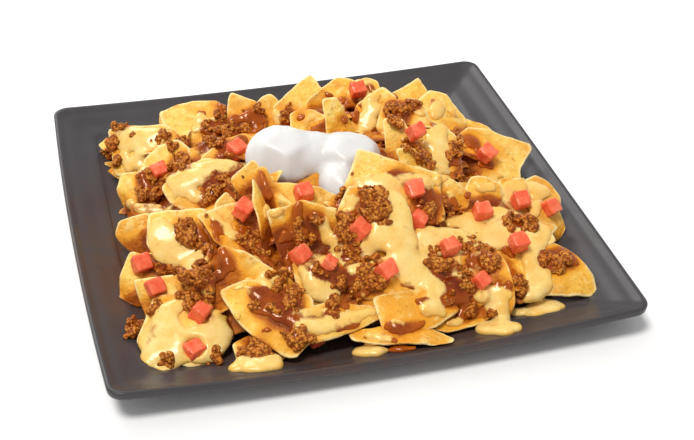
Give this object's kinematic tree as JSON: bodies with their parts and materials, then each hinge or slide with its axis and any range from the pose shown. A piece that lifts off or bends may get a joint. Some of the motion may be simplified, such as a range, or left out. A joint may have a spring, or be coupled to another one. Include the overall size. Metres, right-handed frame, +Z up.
{
  "type": "nachos on a square plate",
  "caption": "Heap of tortilla chips with seasoned beef, cheese sauce, diced tomato and a scoop of sour cream on a dark square plate.",
  "frame": {"origin": "middle of the plate's flat foot, on the surface that the plate stands on", "axes": "+Z up, -Y towards the diner in front of the low side of the heap, +X to the right along the plate's side"},
  "size_m": [0.306, 0.306, 0.0742],
  "materials": {
    "plate_melamine": "satin gloss",
    "nacho_chips": "fried corn, dry, with cheese sauce and beef",
    "sour_cream": "soft wet sheen",
    "tomato": "wet"
  },
  "bodies": {
    "root": {"plate": "plate_melamine", "nacho_heap": "nacho_chips", "sour_cream": "sour_cream", "tomato_01": "tomato", "tomato_02": "tomato", "tomato_03": "tomato", "tomato_04": "tomato", "tomato_05": "tomato", "tomato_06": "tomato", "tomato_07": "tomato", "tomato_08": "tomato", "tomato_09": "tomato", "tomato_10": "tomato", "tomato_11": "tomato", "tomato_12": "tomato", "tomato_13": "tomato", "tomato_14": "tomato", "tomato_15": "tomato", "tomato_16": "tomato", "tomato_17": "tomato", "tomato_18": "tomato", "tomato_19": "tomato", "tomato_20": "tomato", "tomato_21": "tomato", "tomato_22": "tomato", "tomato_23": "tomato", "tomato_24": "tomato"}
  },
  "joints": []
}
